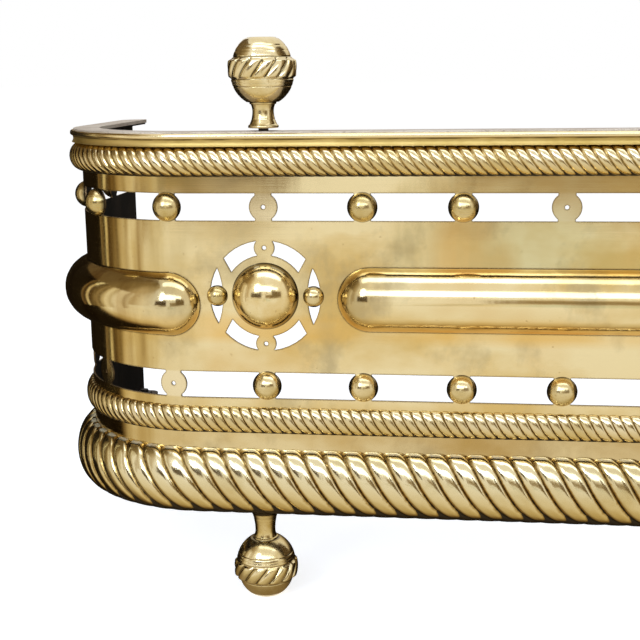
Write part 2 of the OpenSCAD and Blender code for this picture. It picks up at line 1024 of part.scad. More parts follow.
// A round-headed screw from under a flange, whose lower face is at z, up into
// a bar of thickness bar_t
module screw(z, bar_t) {
    head_h = screw_head_d * 0.35;
    translate([0, 0, z])
        rotate_extrude($fn = small_fn) {
            translate([0, -head_h / 4])
                square([screw_d / 2, head_h / 4 + sheet_t + bar_t - screw_skin]);
            mirror([0, 1])
                cap_section(screw_head_d / 2, head_h);
        }
}

module rail_screws() {
    color(iron)
        screw_places()
            screw(rail_z - sheet_t, rail_t);
}

module base_screws() {
    color(black)
        screw_places()
            screw(base_bar_z - sheet_t, base_bar_t);
}

fret_sheet();
top_rail();
rail_nosing();
upper_rope();
lower_rope();
base_rope();
base_bar();
dome_left();
dome_right();
upper_studs();
lower_studs();
roundel_studs();
finial_left();
finial_right();
finial_stud_left();
finial_stud_right();
front_foot_left();
front_foot_right();
rear_foot_left();
rear_foot_right();
front_foot_stud_left();
front_foot_stud_right();
rear_foot_stud_left();
rear_foot_stud_right();
rail_nuts();
base_nuts();
foot_spacers();
rail_screws();
base_screws();
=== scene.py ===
"""Looks of the brass fire fender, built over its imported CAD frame.

Pieces are written in millimetres in the row frame, and turned into metres
when their mesh is made.  Distances p along the face start at the middle of
the front, and off is measured outwards from the sheet's face.  Materials,
the stage and the lamps are written in metres.
"""

import math
from functools import cached_property

import bpy
import numpy as np
from mathutils import Matrix, Vector


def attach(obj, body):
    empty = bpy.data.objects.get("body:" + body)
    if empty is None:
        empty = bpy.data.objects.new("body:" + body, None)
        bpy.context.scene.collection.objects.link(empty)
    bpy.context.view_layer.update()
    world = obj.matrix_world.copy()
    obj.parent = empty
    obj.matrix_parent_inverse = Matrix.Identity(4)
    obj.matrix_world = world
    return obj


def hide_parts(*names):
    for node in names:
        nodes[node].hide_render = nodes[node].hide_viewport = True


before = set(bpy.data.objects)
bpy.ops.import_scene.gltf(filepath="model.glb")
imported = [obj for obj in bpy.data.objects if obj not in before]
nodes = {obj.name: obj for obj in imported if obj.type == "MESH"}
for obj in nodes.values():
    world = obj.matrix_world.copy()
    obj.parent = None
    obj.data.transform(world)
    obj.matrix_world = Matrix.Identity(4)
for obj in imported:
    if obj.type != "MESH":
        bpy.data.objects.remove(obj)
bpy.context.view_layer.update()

MM = 0.001

# -------------------------------------------------- sizes, in millimetres

# plan of the sheet's face, and the gap that the mouldings keep from it
HALF_FRONT = 492.7
CORNER_R = 97.0
ARC = CORNER_R * math.pi / 2
RETURN = 111.0
HALF_LEN = HALF_FRONT + ARC + RETURN
FRONT_Y = -95.75
SHEET_THICKNESS = 1.2
SEAT = 0.2
# longest step of a moulding's back, so that it stays clear in the corners
BACK_STEP = 5.0

# places of the finials and feet, and the bore for their stud
ROUNDEL_X = 444.5
FOOT_X = 449.5
REAR_FOOT_X = 581.7
REAR_FOOT_Y = 89.25
ROD_INSET = 8.0
FINIAL_Z = 315.97
FINIAL_H = 56.2
FOOT_H = 60.4
ROD_HOLE_R = 3.3
BORE = 24.0

# a finial or foot, measured from its flat end: balls as (radius, height of
# the centre), and the heights of the gadroon band and of the shoulder
LOWER_BALL = (18.79, 16.38)
UPPER_BALL = (20.11, 22.68)
BAND = (21.9, 19.03)
BAND_FROM, BAND_TO = 12.4, 25.6
SHOULDER = 40.28
SCORED = BAND_TO + 4.8
FLAT_R = 9.2
WAIST_R = 6.8
COLLAR_R = 9.7
GADROONS = 14
GADROON_TWIST = 1.1
GADROON_DEPTH = 1.9
TURNED_SEGMENTS = 216

# ------------------------------------------ places on the brass, in metres

LUG_ROWS = ((0.140, 0.1575), (0.2575, 0.275))
PLAIN_BAND = (0.100, 0.1165)
PLAIN_BAND_DARK_X = (-0.43, -0.30)
UNDER_BULGES = (0.179, 0.196)
RUBBED_X = (-0.485, -0.41)
RUBBED_Z = (0.222, 0.25)
CORNER_X = (0.482, 0.515)
SIDE_X = (0.50, 0.57)
COVE_LINE = (0.3089, 0.3098)
COVE_TO_BEAD = (0.3097, 0.3104)
POLISH_LINE = 0.105

# ---------------------------------------------------------------- colours

PALE = (0.84, 0.70, 0.40)
GOLD = (0.70, 0.50, 0.19)
DEEP = (0.36, 0.21, 0.06)
# near black: dirt in hollows, and painted shade in creases, under ropes and round studs
DIRT_AND_SHADE = (0.035, 0.023, 0.011)
TARNISH = (0.68, 0.42, 0.12)
OLIVE = (0.38, 0.31, 0.17)
TINNED = (0.88, 0.76, 0.50)
AMBER = (0.78, 0.47, 0.11)
HONEY = (0.56, 0.39, 0.12)
DARK_BAND_BROWN = (0.42, 0.26, 0.075)
PAINTED_LIP_HIGHLIGHT = (0.92, 0.84, 0.55)
BROWN_EDGE = (0.12, 0.07, 0.02)
COVE_GOLD = (0.62, 0.45, 0.16)
COVE_BROWN = (0.48, 0.33, 0.09)
BEAD = (0.84, 0.68, 0.38)
SHADED_UNDERSIDE = (0.62, 0.44, 0.15)
GROOVE_SIDE = (0.42, 0.27, 0.08)
OLD_POLISH = (0.82, 0.74, 0.52)

# what the metal mirrors
NEAR_BLACK = (0.012, 0.008, 0.004)
SOOTY = (0.09, 0.055, 0.02)
UMBER = (0.10, 0.065, 0.03)
DARK_BROWN = (0.16, 0.11, 0.05)
BROWN = (0.17, 0.115, 0.045)
PEAT = (0.22, 0.16, 0.08)
RUST = (0.24, 0.17, 0.08)
MUD = (0.26, 0.19, 0.09)
EARTH = (0.34, 0.25, 0.12)
CLAY = (0.34, 0.26, 0.15)
TAN = (0.50, 0.40, 0.26)
DUN = (0.56, 0.46, 0.30)
SAND = (0.60, 0.50, 0.34)
SAND_GOLD = (0.60, 0.50, 0.30)
SAND_PALE = (0.60, 0.52, 0.36)
STRAW = (0.72, 0.64, 0.44)
BUFF = (0.85, 0.78, 0.62)
CREAM = (0.93, 0.90, 0.84)
WARM_WHITE = (1, 0.98, 0.92)
YELLOW = (1, 0.92, 0.62)
FLOOR_PATCH = (0.30, 0.30, 0.26)

FLOOR_WHITE = (0.80, 0.80, 0.80)
FLOOR_GLOW = 0.65
WORLD_LIGHT = 0.45
# the lamps' light, bluer than neutral: it was tuned with the brass to meet
# the photograph's mean colour
COOL = (0.64, 0.77, 1.0)


def place(p, off):
    """Plan position of points at distance p along the face, off outwards."""
    p = np.asarray(p, float)
    off = np.asarray(off, float)
    a = np.abs(p)
    side = np.where(p < 0, -1.0, 1.0)
    t = np.clip((a - HALF_FRONT) / CORNER_R, 0, math.pi / 2)
    back = np.maximum(0, a - HALF_FRONT - ARC)
    x = np.minimum(a, HALF_FRONT) + (CORNER_R + off) * np.sin(t)
    y = FRONT_Y + CORNER_R - (CORNER_R + off) * np.cos(t) + back
    return side * x, y


def outside(points):
    """How far points in millimetres lie outwards from the sheet's face."""
    u = np.maximum(np.abs(points[:, 0]) - HALF_FRONT, 0)
    v = np.minimum(points[:, 1] - FRONT_Y - CORNER_R, 0)
    return np.hypot(u, v) - CORNER_R


def smoothstep(x, a, b):
    """0 up to a, 1 from b, and a smooth rise between them."""
    t = np.clip((x - a) / (b - a), 0, 1)
    return t * t * (3 - 2 * t)


def scored(t, at, width):
    """A fine turned line: 1 at its height, fading over width."""
    return np.exp(-((t - at) / width) ** 2)


# ----------------------------------------------------------- mesh helpers


def make_object(name, verts, faces, material, sharp):
    """A smooth mesh object from vertices in millimetres, with edges kept
    where its faces turn by more than sharp degrees."""
    mesh = bpy.data.meshes.new(name)
    mesh.from_pydata((np.asarray(verts) * MM).tolist(), [], faces)
    mesh.update()
    mesh.materials.append(material)
    mesh.shade_smooth()
    mesh.set_sharp_from_angle(angle=math.radians(sharp))
    obj = bpy.data.objects.new(name, mesh)
    bpy.context.scene.collection.objects.link(obj)
    return obj


def ring_faces(n, ring):
    """Quads between n rings of points, with a face across each end."""
    i = np.arange(n - 1)[:, None] * ring
    a = np.arange(ring)[None, :]
    b = (a + 1) % ring
    quads = np.stack([i + a, i + b, i + ring + b, i + ring + a], axis=-1)
    faces = quads.reshape(-1, 4).tolist()
    faces.append(list(range(ring - 1, -1, -1)))
    faces.append([(n - 1) * ring + j for j in range(ring)])
    return faces


def add_field(obj, name, values):
    """Stores one number per vertex for the materials to read."""
    field = obj.data.attributes.new(name, "FLOAT", "POINT")
    field.data.foreach_set("value", np.asarray(values, np.float32).ravel())


def finish_piece(obj, slot, *replaced):
    """Ties a piece to the body and hides the nodes it stands for.  Its slot is not used."""
    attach(obj, "root")
    if replaced:
        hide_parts(*replaced)
    return obj


# ----------------------------------------------------------- node helpers


class Nodes:
    """Builds the node tree of a material or world with few words."""

    def __init__(self, owner, bare=True):
        owner.use_nodes = True
        self.owner = owner
        self.tree = owner.node_tree
        if bare:
            self.tree.nodes.clear()

    @cached_property
    def coords(self):
        """Coordinates in the row frame, in metres."""
        return self.node("TexCoord").outputs["Object"]

    def put(self, socket, value):
        """Links a socket's value, or sets it."""
        if isinstance(value, bpy.types.NodeSocket):
            self.tree.links.new(value, socket)
        elif socket.type == "RGBA":
            socket.default_value = (*value, 1.0)
        else:
            socket.default_value = value

    def fill(self, node, **sockets):
        for key, value in sockets.items():
            self.put(node.inputs[key.replace("_", " ")], value)
        return node

    def node(self, kind, **sockets):
        return self.fill(self.tree.nodes.new("ShaderNode" + kind), **sockets)

    def along(self, axis):
        """Distance along an axis of the row frame, in metres."""
        return self.node("SeparateXYZ", Vector=self.coords).outputs[axis]

    def noise(self, scale, detail=3.0, rough=0.5, stretch=None, seed=0.0):
        """Noise with a scale in cells per metre, from 0 to 1."""
        vector = self.coords
        if stretch or seed:
            vector = self.node("Mapping", Vector=vector, Location=(seed, seed * 0.7, -seed),
                               Scale=stretch or (1, 1, 1)).outputs["Vector"]
        return self.node("TexNoise", Vector=vector, Scale=scale, Detail=detail,
                         Roughness=rough).outputs["Fac"]

    def span(self, value, a, b, c=0.0, d=1.0):
        """Maps the range a..b to c..d, clamped."""
        return self.node("MapRange", Value=value, From_Min=a, From_Max=b,
                         To_Min=c, To_Max=d).outputs["Result"]

    def between(self, value, low, high, soft):
        """1 from low to high, fading to 0 over soft on both sides."""
        return self.times(self.span(value, low - soft, low + soft),
                          self.span(value, high - soft, high + soft, 1.0, 0.0))

    def math(self, kind, a, b=0.0):
        n = self.tree.nodes.new("ShaderNodeMath")
        n.operation = kind
        self.put(n.inputs[0], a)
        self.put(n.inputs[1], b)
        return n.outputs["Value"]

    def times(self, a, b):
        return self.math("MULTIPLY", a, b)

    def plus(self, a, b):
        return self.math("ADD", a, b)

    def mix(self, factor, a, b):
        """Colour a where factor is 0, and b where it is 1."""
        n = self.tree.nodes.new("ShaderNodeMix")
        n.data_type = "RGBA"
        for index, value in ((0, factor), (6, a), (7, b)):
            self.put(n.inputs[index], value)
        return n.outputs[2]

    def either(self, factor, a, b):
        """Shader a where factor is 0, and b where it is 1."""
        n = self.node("MixShader")
        for socket, value in zip(n.inputs, (factor, a, b)):
            self.put(socket, value)
        return n.outputs[0]

    def rays(self, *kinds):
        """1 for the named kinds of ray, and 0 for the others."""
        path = self.node("LightPath").outputs
        value = path[kinds[0]]
        for kind in kinds[1:]:
            value = self.math("MAXIMUM", value, path[kind])
        return value

    def surface(self, output, shader):
        """Ends the tree in its output node."""
        self.node(output, Surface=shader)
        return self.owner


class Shader(Nodes):
    """Builds the material of a piece round one Principled BSDF."""

    def __init__(self, name):
        super().__init__(bpy.data.materials.new(name), bare=False)

    def field(self, name):
        """One of the numbers that add_field stored."""
        n = self.tree.nodes.new("ShaderNodeAttribute")
        n.attribute_name = name
        return n.outputs["Fac"]

    def bevel(self, radius):
        """Normal that is rounded at sharp edges."""
        n = self.node("Bevel", Radius=radius)
        n.samples = 4
        return n.outputs["Normal"]

    def edges(self, radius):
        """1 close to a sharp edge, from the bevel's normal."""
        dot = self.tree.nodes.new("ShaderNodeVectorMath")
        dot.operation = "DOT_PRODUCT"
        self.put(dot.inputs[0], self.bevel(radius))
        self.put(dot.inputs[1], self.node("NewGeometry").outputs["Normal"])
        return self.span(dot.outputs["Value"], 0.985, 0.90)

    def bump(self, height, strength, distance, normal=None):
        n = self.node("Bump", Height=height, Strength=strength, Distance=distance)
        if normal is not None:
            self.put(n.inputs["Normal"], normal)
        return n.outputs["Normal"]

    def done(self, **sockets):
        self.fill(self.tree.nodes["Principled BSDF"], **sockets)
        return self.owner


# -------------------------------------------------------------- materials


def sheet_brass():
    """Rubbed brass with smoke and warm tarnish, golden round the corners, with
    painted shade on the sides and in the bulges' creases, and a painted highlight
    and a painted warm reflection round the bulges.
    """
    s = Shader("brass sheet")
    clouds = s.noise(12, 4, 0.55, stretch=(1, 1, 1.6), seed=3.1)
    smoke = s.noise(17, 5, 0.6, stretch=(1.2, 1.2, 0.9), seed=8.4)
    warm = s.noise(8, 3, 0.6, seed=12.3)
    streaks = s.noise(46, 3, 0.6, stretch=(1, 1, 0.08), seed=4.7)
    brushed = s.noise(60, 3, 0.6, stretch=(0.25, 0.25, 30), seed=1.7)
    spots = s.noise(240, 2, 0.5, seed=5.5)
    x = s.along("X")
    z = s.along("Z")
    aside = s.math("ABSOLUTE", x)
    rise = s.field("rise")
    colour = s.mix(s.span(clouds, 0.45, 0.65), PALE, GOLD)
    colour = s.mix(s.span(warm, 0.56, 0.70, 0.0, 0.6), colour, TARNISH)
    colour = s.mix(s.span(smoke, 0.52, 0.66, 0.0, 0.55), colour, OLIVE)
    # rubbed pale over the left roundel, and a painted warm reflection under the bulges
    rubbed = s.times(s.between(x, *RUBBED_X, 0.014), s.span(z, *RUBBED_Z, 0.0, 0.55))
    colour = s.mix(rubbed, colour, PALE)
    painted_warm_reflection = s.times(s.between(z, *UNDER_BULGES, 0.003), s.span(warm, 0.38, 0.6, 0.0, 0.65))
    colour = s.mix(painted_warm_reflection, colour, AMBER)
    # streaky gold round the corners, but less on the bulges, and dark streaks painted on the
    # sides as shade
    corner = s.times(s.span(aside, *CORNER_X, 0.0, 0.85), s.span(streaks, 0.36, 0.60, 0.35, 1.0))
    corner = s.times(corner, s.span(rise, 0.5, 2.0, 1.0, 0.4))
    colour = s.mix(corner, colour, HONEY)
    dark = s.times(s.span(aside, *SIDE_X), s.span(streaks, 0.46, 0.6, 0.0, 0.7))
    colour = s.mix(dark, colour, DEEP)
    colour = s.mix(s.span(spots, 0.70, 0.78, 0.0, 0.4), colour, DEEP)
    for low, high in LUG_ROWS:
        colour = s.mix(s.times(s.between(z, low, high, 0.0006), 0.7), colour, TINNED)
    # the band between the lower ropes is darker brown, less so at the far left
    band = s.times(s.between(z, *PLAIN_BAND, 0.0006), s.span(clouds, 0.35, 0.6, 0.35, 0.8))
    band = s.times(band, s.span(x, *PLAIN_BAND_DARK_X, 0.4, 1.0))
    colour = s.mix(band, colour, DARK_BAND_BROWN)
    # painted shade along the crease where an embossed bulge starts, and a painted highlight on
    # its lip
    colour = s.mix(s.times(s.between(rise, 0.2, 0.9, 0.12), 0.85), colour, DIRT_AND_SHADE)
    colour = s.mix(s.times(s.between(rise, 1.2, 2.0, 0.3), 0.7), colour, PAINTED_LIP_HIGHLIGHT)
    colour = s.mix(s.edges(0.0017), colour, BROWN_EDGE)
    rough = s.plus(s.span(clouds, 0.3, 0.7, 0.08, 0.15), s.span(brushed, 0.35, 0.65, -0.02, 0.04))
    normal = s.bump(s.noise(14, 2, 0.5, seed=2.2), 0.6, 0.0014, s.bevel(0.0005))
    normal = s.bump(streaks, 0.3, 0.0004, normal)
    normal = s.bump(brushed, 0.12, 0.00004, normal)
    return s.done(Base_Color=colour, Metallic=1.0, Roughness=rough, Normal=normal)


def nosing_brass():
    """The bead is paler and glossier than the cove under it."""
    s = Shader("nosing brass")
    z = s.along("Z")
    clouds = s.noise(24, 4, 0.6, seed=7.1)
    grit = s.noise(160, 3, 0.6, stretch=(0.4, 0.4, 2), seed=2.6)
    colour = s.mix(s.span(clouds, 0.4, 0.65), COVE_GOLD, COVE_BROWN)
    colour = s.mix(s.span(z, *COVE_TO_BEAD), colour, BEAD)
    line = s.times(s.between(z, *COVE_LINE, 0.0003), s.span(grit, 0.35, 0.6, 0.1, 0.8))
    colour = s.mix(line, colour, DIRT_AND_SHADE)
    return s.done(Base_Color=colour, Metallic=1.0,
                  Roughness=s.span(z, *COVE_TO_BEAD, 0.46, 0.2),
                  Normal=s.bump(clouds, 0.3, 0.0006))


def rope_brass(name, worn, low, dark=0.86, polish_line=None):
    """Worn brass with dirt in the grooves, and painted shade: a darker underside,
    grooves that widen towards the bottom and a black shadow line along it.
    dark is how far down that painted shadow line starts, and polish_line the
    height where old polish stays."""
    s = Shader(name)
    groove = s.field("groove")
    under = s.field("under")
    clouds = s.noise(22, 4, 0.6, seed=6.3)
    dents = s.noise(130, 3, 0.55, seed=3.8)
    grit = s.noise(320, 3, 0.6, seed=2.9)
    colour = s.mix(s.span(clouds, 0.4, 0.65), worn, low)
    # painted shade: the lower half of the rope turns darker and browner
    colour = s.mix(s.span(under, 0.45, 0.85, 0.0, 0.85), colour, SHADED_UNDERSIDE)
    edge = s.plus(groove, s.span(grit, 0.3, 0.7, -0.15, 0.15))
    # painted shade: the dark grooves widen towards the bottom
    edge = s.plus(edge, s.span(under, 0.5, 1.0, 0.0, 0.25))
    # painted shadow: a black line along the rope's bottom
    lowest = s.plus(under, s.span(groove, 0.0, 0.6, -0.02, 0.07))
    edge = s.math("MAXIMUM", edge, s.span(lowest, dark, dark + 0.07))
    colour = s.mix(s.span(edge, 0.30, 0.6), colour, GROOVE_SIDE)
    colour = s.mix(s.span(edge, 0.64, 0.95), colour, DIRT_AND_SHADE)
    rough = s.plus(s.span(clouds, 0.3, 0.7, 0.12, 0.22), s.span(edge, 0.5, 0.95, 0.0, 0.3))
    metallic = s.span(edge, 0.8, 1.0, 1.0, 0.85)
    if polish_line:
        patch = s.times(s.span(s.along("Z"), polish_line - 0.0010, polish_line - 0.0003),
                        s.span(dents, 0.34, 0.5, 0.4, 0.9))
        colour = s.mix(patch, colour, OLD_POLISH)
        metallic = s.times(metallic, s.span(patch, 0.0, 0.6, 1.0, 0.5))
    normal = s.bump(dents, 0.35, 0.0004)
    normal = s.bump(grit, 0.2, 0.00006, normal)
    return s.done(Base_Color=colour, Metallic=metallic, Roughness=rough, Normal=normal)


def turned_brass(name, worn, low, rough_low):
    """Turned and polished brass with fine rings, spots and dirty hollows, and painted
    shade where studs and domes meet the sheet and on a foot's collar.
    """
    s = Shader(name)
    clouds = s.noise(40, 4, 0.6, seed=4.4)
    turned = s.noise(160, 2, 0.5, stretch=(0.15, 0.15, 12), seed=7.7)
    dents = s.noise(90, 2, 0.5, seed=9.1)
    spots = s.noise(420, 2, 0.5, seed=3.3)
    colour = s.mix(s.span(clouds, 0.38, 0.66), worn, low)
    colour = s.mix(s.span(spots, 0.66, 0.76, 0.0, 0.5), colour, DEEP)
    # dirt in the hollows and turned lines, and painted shade near the sheet and on a foot's
    # collar
    colour = s.mix(s.span(s.field("groove"), 0.35, 0.9), colour, DIRT_AND_SHADE)
    rough = s.plus(s.span(clouds, 0.3, 0.7, rough_low, rough_low + 0.12),
                   s.span(turned, 0.3, 0.7, -0.04, 0.06))
    normal = s.bump(dents, 0.35, 0.0005)
    normal = s.bump(turned, 0.15, 0.00005, normal)
    return s.done(Base_Color=colour, Metallic=1.0, Roughness=rough, Normal=normal)


def rail_iron():
    """Flat iron that was brassed once, rubbed and pitted."""
    s = Shader("rail iron")
    clouds = s.noise(30, 5, 0.65, seed=1.2)
    pits = s.noise(500, 3, 0.6, seed=6.1)
    colour = s.mix(s.span(clouds, 0.35, 0.65), (0.74, 0.64, 0.52), (0.52, 0.42, 0.32))
    colour = s.mix(s.span(pits, 0.6, 0.75, 0.0, 0.8), colour, (0.16, 0.095, 0.06))
    return s.done(Base_Color=colour, Metallic=0.35,
                  Roughness=s.span(clouds, 0.3, 0.7, 0.34, 0.5),
                  Normal=s.bump(pits, 0.3, 0.0001, s.bevel(0.0007)))


def black_iron():
    """Iron blackened by the fire."""
    s = Shader("black iron")
    clouds = s.noise(40, 5, 0.65, seed=2.4)
    grit = s.noise(600, 3, 0.6, seed=4.2)
    colour = s.mix(s.span(clouds, 0.35, 0.7), (0.035, 0.032, 0.03), (0.085, 0.06, 0.042))
    return s.done(Base_Color=colour, Metallic=0.6,
                  Roughness=s.span(grit, 0.3, 0.7, 0.45, 0.65),
                  Normal=s.bump(grit, 0.35, 0.0002, s.bevel(0.0005)))


def soot():
    """Inner side of the sheet, black with smoke over old brass."""
    s = Shader("soot")
    clouds = s.noise(26, 5, 0.62, stretch=(1, 1, 0.5), seed=5.2)
    scratches = s.noise(90, 3, 0.6, stretch=(3, 3, 0.15), seed=1.9)
    colour = s.mix(s.span(clouds, 0.42, 0.7), (0.006, 0.005, 0.004), (0.022, 0.014, 0.008))
    colour = s.mix(s.span(scratches, 0.66, 0.74, 0.0, 0.5), colour, (0.16, 0.10, 0.045))
    return s.done(Base_Color=colour, Metallic=0.0, Specular_IOR_Level=0.15,
                  Roughness=s.span(clouds, 0.3, 0.7, 0.55, 0.75),
                  Normal=s.bump(clouds, 0.3, 0.0004))


def cut_edge():
    """Sawn edges of the sheet, brown where no cloth reaches."""
    s = Shader("cut edge")
    grit = s.noise(300, 3, 0.6, seed=8.8)
    colour = s.mix(s.span(grit, 0.35, 0.65), (0.20, 0.12, 0.045), (0.07, 0.045, 0.02))
    return s.done(Base_Color=colour, Metallic=0.7, Roughness=0.45)


SHEET = sheet_brass()
SOOT = soot()
EDGE = cut_edge()
NOSING = nosing_brass()
ROPE = rope_brass("rope brass", (0.80, 0.68, 0.43), (0.62, 0.48, 0.22))
BASE_ROPE = rope_brass("base rope brass", (0.77, 0.66, 0.40), (0.58, 0.45, 0.20), 0.82,
                       POLISH_LINE)
POLISHED = turned_brass("polished brass", PALE, GOLD, 0.08)
STUD = turned_brass("stud brass", (0.76, 0.62, 0.34), (0.54, 0.40, 0.15), 0.15)
TURNED = turned_brass("turned brass", (0.84, 0.71, 0.43), (0.62, 0.46, 0.18), 0.12)
RAIL = rail_iron()
IRON = black_iron()


# --------------------------------------------------- ropes under the rail


def rope(node, material, rise, height, z, pitch, lay, bow, groove, phase,
         per_strand, rows, scallop=0.4, sharpness=3.0):
    """A half-round moulding twisted like a rope, on the face from z upwards.

    rise is how far it stands out and pitch the width of a strand.  lay is how
    far a strand leans along the face from bottom to top, and bow how far it
    curves on the way.
    groove is the depth between strands, and sharpness narrows it.  phase is
    the place of one strand's middle, measured from the left roundel's centre.
    A strand has per_strand rings of points, with rows steps each.
    """
    n = int(2 * HALF_LEN / pitch * per_strand) + 1
    p = np.linspace(-HALF_LEN, HALF_LEN, n)
    a = np.linspace(math.pi / 2, -math.pi / 2, rows + 1)
    turn = (p + ROUNDEL_X - phase) / pitch
    side = np.abs(2 * (turn - np.round(turn)))
    cut = groove * side ** sharpness
    # the lean fades out towards the cut ends
    left = np.minimum(1, (HALF_LEN - np.abs(p)) / (lay * 1.2))
    share = a / math.pi
    shift = -lay * share + bow * (2 * share) ** 2
    along = p[:, None] + left[:, None] * shift[None, :]
    fade = np.cos(a) ** 0.5
    depth = cut[:, None] * (0.35 + 0.65 * fade[None, :])
    off = SEAT + (rise - SEAT - depth) * np.cos(a)[None, :]
    # a strand's end is round where it meets the flat band over it
    drop = cut[:, None] * (1 / 3 + scallop * np.clip(np.sin(a), 0, 1)[None, :] ** 5)
    up = z + height / 2 + (height / 2 - drop) * np.sin(a)[None, :]
    # the flat back follows the sheet round the corners in short steps: one
    # straight line over the whole slant would cut through the sheet there
    climb = np.linspace(0, 1, math.ceil(lay / BACK_STEP) + 1)[1:-1]
    back = along[:, -1:] + (along[:, :1] - along[:, -1:]) * climb
    along = np.hstack([along, back])
    off = np.hstack([off, np.full(back.shape, SEAT)])
    up = np.hstack([up, up[:, -1:] + (up[:, :1] - up[:, -1:]) * climb])
    under = np.concatenate([(1 - np.sin(a)) / 2, 1 - climb])
    x, y = place(along, off)
    verts = np.stack([x, y, up], axis=-1).reshape(-1, 3)
    ring = len(under)
    obj = make_object(node + "_look", verts, ring_faces(n, ring), material, 60)
    add_field(obj, "groove", np.repeat(side[:, None] ** 4.0, ring, axis=1))
    add_field(obj, "under", np.repeat(under[None, :], n, axis=0))
    return finish_piece(obj, "rope_brass", node)


rope("upper_rope", ROPE, rise=8.6, height=19.5, z=285.5, pitch=6.65, lay=19.5, bow=2.6,
     groove=1.5, phase=5.8, per_strand=12, rows=14)
rope("lower_rope", ROPE, rise=5.2, height=18.0, z=116.0, pitch=6.65, lay=15.0, bow=3.0,
     groove=1.2, phase=1.6, per_strand=12, rows=12)
rope("base_rope", BASE_ROPE, rise=14.0, height=44.6, z=60.4, pitch=13.623, lay=40.0, bow=6.4,
     groove=2.4, phase=0.6, per_strand=18, rows=26, scallop=0.55, sharpness=3.4)


# -------------------------------------------------------- sheet and nosing


def smooth_copy(name, material, slot, sharp, rim=0):
    """A CAD node's own shape with its normals smoothed.  Within rim of the sheet's
    face it is painted dark, as shade where the piece meets the sheet."""
    source = nodes[name].data
    verts = np.array([v.co for v in source.vertices]) / MM
    key = {}
    index = []
    kept = []
    for v in np.round(verts, 4).tolist():
        t = tuple(v)
        if t not in key:
            key[t] = len(kept)
            kept.append(v)
        index.append(key[t])
    faces = []
    for f in source.polygons:
        loop = [index[i] for i in f.vertices]
        if len(set(loop)) == len(loop):
            faces.append(loop)
    obj = make_object(name + "_look", kept, faces, material, sharp)
    if rim:
        add_field(obj, "groove", 1 - np.clip(outside(np.array(kept)) / rim, 0, 1))
    return finish_piece(obj, slot, name)


def blacken_inside(obj):
    """Soot on the faces that look into the hearth, brown on the cut edges."""
    mesh = obj.data
    mesh.materials.append(SOOT)
    mesh.materials.append(EDGE)
    count = len(mesh.polygons)
    centre = np.empty(count * 3)
    normal = np.empty(count * 3)
    mesh.polygons.foreach_get("center", centre)
    mesh.polygons.foreach_get("normal", normal)
    centre = centre.reshape(-1, 3) / MM
    depth = outside(centre)
    facing = outside(centre + normal.reshape(-1, 3)) - depth
    kind = np.where(facing < -0.25, 1, 0)
    # a cut edge looks along the sheet, with its middle about half way through
    half_deep = np.abs(depth + SHEET_THICKNESS / 2) < 0.5
    kind[(np.abs(facing) < 0.2) & half_deep] = 2
    mesh.polygons.foreach_set("material_index", kind.astype(np.int32))
    mesh.update()


sheet = smooth_copy("fret_sheet", SHEET, "brass_sheet", 28)
blacken_inside(sheet)
add_field(sheet, "rise", outside(np.array([v.co for v in sheet.data.vertices]) / MM))
smooth_copy("rail_nosing", NOSING, "brass_sheet", 40)


# -------------------------------------------------------- finials and feet


def on_ball(ball, t):
    """Radius of a ball at height t."""
    radius, middle = ball
    return math.sqrt(radius ** 2 - (t - middle) ** 2)


def ball_profile(height):
    """Outline of a finial or foot, from its flat end to its collar and into
    its bore.  Heights are measured from the flat end."""
    points = [(3.0, 0.0), (FLAT_R - 1.2, 0.0), (FLAT_R - 0.4, 0.12), (FLAT_R, 0.5)]
    for t in np.linspace(1.0, BAND_FROM - 0.8, 24):
        dip = 0.22 * scored(t, 5.2, 0.3) + 0.2 * scored(t, 8.3, 0.3)
        points.append((on_ball(LOWER_BALL, t) - dip, t))
    step = on_ball(LOWER_BALL, BAND_FROM)
    points += [(step - 0.35, BAND_FROM - 0.45), (step - 0.4, BAND_FROM - 0.25),
               (step + 0.2, BAND_FROM - 0.05)]
    for t in np.linspace(BAND_FROM + 0.1, BAND_TO - 0.1, 36):
        swell = (smoothstep(t, BAND_FROM, BAND_FROM + 2.2)
                 * (1 - 0.55 * smoothstep(t, BAND_TO - 1.6, BAND_TO)))
        points.append((step + 0.3 + (on_ball(BAND, t) - step - 0.3) * swell, t))
    step = on_ball(UPPER_BALL, BAND_TO)
    points += [(step - 0.35, BAND_TO + 0.1), (step - 0.3, BAND_TO + 0.4)]
    for t in np.linspace(BAND_TO + 0.7, SHOULDER - 0.3, 44):
        dip = 0.3 * scored(t, SCORED, 0.28) + 0.15 * scored(t, BAND_TO + 2.4, 0.3)
        points.append((on_ball(UPPER_BALL, t) - dip, t))
    waist = SHOULDER + 5.5
    top = height - 2.0
    points += [(8.75, SHOULDER - 0.1), (8.5, SHOULDER + 0.25), (8.5, SHOULDER + 0.9)]
    for t in np.linspace(SHOULDER + 1.2, waist, 9):
        points.append((WAIST_R + 1.5 * ((waist - t) / (waist - SHOULDER)) ** 2, t))
    for t in np.linspace(waist + 0.5, top - 0.3, 16):
        flare = 2.1 * ((t - waist) / (top - waist)) ** 2
        points.append((WAIST_R + flare - 0.16 * scored(t, top - 3.4, 0.35), t))
    points += [(COLLAR_R - 0.7, top - 0.05), (COLLAR_R - 0.25, top + 0.2), (COLLAR_R, top + 0.6),
               (COLLAR_R, height - 0.4), (COLLAR_R - 0.2, height - 0.1), (FLAT_R, height),
               (ROD_HOLE_R, height), (ROD_HOLE_R, height - BORE)]
    return points


